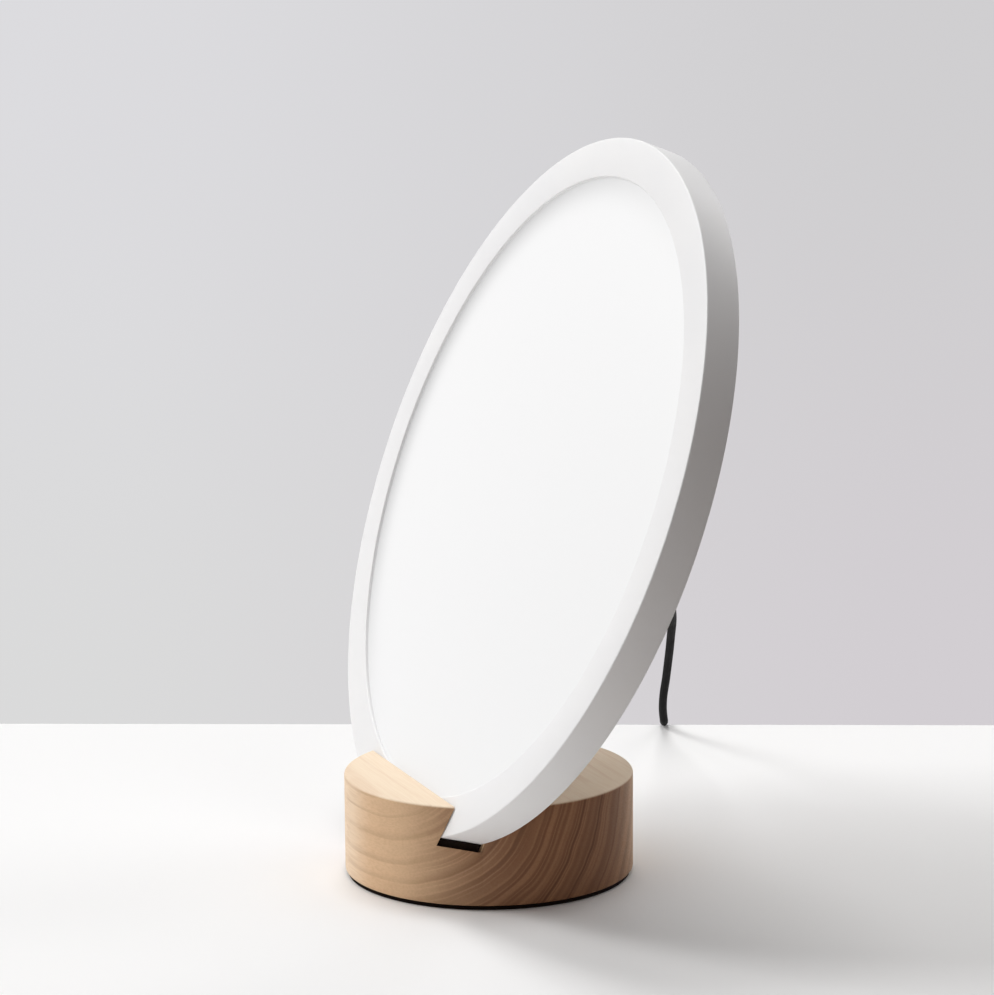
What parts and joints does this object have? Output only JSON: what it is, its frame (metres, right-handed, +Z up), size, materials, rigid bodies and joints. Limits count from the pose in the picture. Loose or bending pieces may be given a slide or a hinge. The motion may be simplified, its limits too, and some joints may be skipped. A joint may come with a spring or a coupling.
{
  "type": "light therapy lamp",
  "caption": "Round edge-lit light therapy panel that stands tilted back in the slanted slot of a round wooden base, with a mains cord, rear button and wall adapter.",
  "frame": {"origin": "centre of the anti-slip pad's underside, on the table", "axes": "+Z up, the lit face looks towards -Y and tilts back, +X to the right of a person behind the lamp's front looking along +Y"},
  "size_m": [0.4863, 0.2516, 0.3035],
  "materials": {
    "white_frame": "fine satin moulding",
    "white_cover": "fine satin moulding",
    "opal_diffuser": "opal, lit from behind",
    "clear_guide": "clear polished sheet",
    "reflector_film": "white film",
    "led_strip": "strip with yellowish light chips",
    "aluminium": "rolled strip",
    "foam": "open cell foam",
    "screw_steel": "plated",
    "board_green": "lacquered board",
    "switch_black": "moulded",
    "plunger_black": "moulded",
    "button_white": "satin moulding, dished",
    "relief_black": "soft moulding",
    "lead_red": "insulated wire",
    "lead_black": "insulated wire",
    "pale_wood": "pale softwood, sanded and oiled",
    "liner_black": "matt strip",
    "pad_black": "matt sheet",
    "cord_black": "smooth cord sheath",
    "tie_black": "hook and loop strap",
    "adapter_black": "fine texture moulding",
    "blade_metal": "nickel-plated"
  },
  "bodies": {
    "base": {"base_block": "pale_wood", "slot_liner": "liner_black", "base_pad": "pad_black", "cord_coil": "cord_black", "coil_tie": "tie_black", "adapter_front": "adapter_black", "adapter_back": "adapter_black", "adapter_blade_1": "blade_metal", "adapter_blade_2": "blade_metal", "adapter_relief": "adapter_black"},
    "panel": {"front_frame": "white_frame", "diffuser": "opal_diffuser", "light_guide": "clear_guide", "reflector_sheet": "reflector_film", "led_strip": "led_strip", "heat_ring": "aluminium", "foam_backing": "foam", "rear_cover": "white_cover", "cover_screw_1": "screw_steel", "cover_screw_2": "screw_steel", "cover_screw_3": "screw_steel", "cover_screw_4": "screw_steel", "cover_screw_5": "screw_steel", "cover_screw_6": "screw_steel", "cover_screw_7": "screw_steel", "cover_screw_8": "screw_steel", "driver_board": "board_green", "switch_body": "switch_black", "cord_relief": "relief_black", "supply_lead_plus": "lead_red", "supply_lead_minus": "lead_black", "strip_lead_plus": "lead_red", "strip_lead_minus": "lead_black", "cord_drop": "cord_black"},
    "button": {"power_button": "button_white", "switch_plunger": "plunger_black"}
  },
  "joints": [
    {"name": "panel_lift", "type": "slide", "parent": "base", "child": "panel", "axis": [0, 0.3535, 0.9354], "range_m": [0, 0.045]},
    {"name": "button_press", "type": "slide", "parent": "panel", "child": "button", "axis": [0, -0.9354, 0.3535], "range_m": [0, 0.0004], "stiffness_N_per_m": 2000, "springref_m": -0.0003}
  ]
}
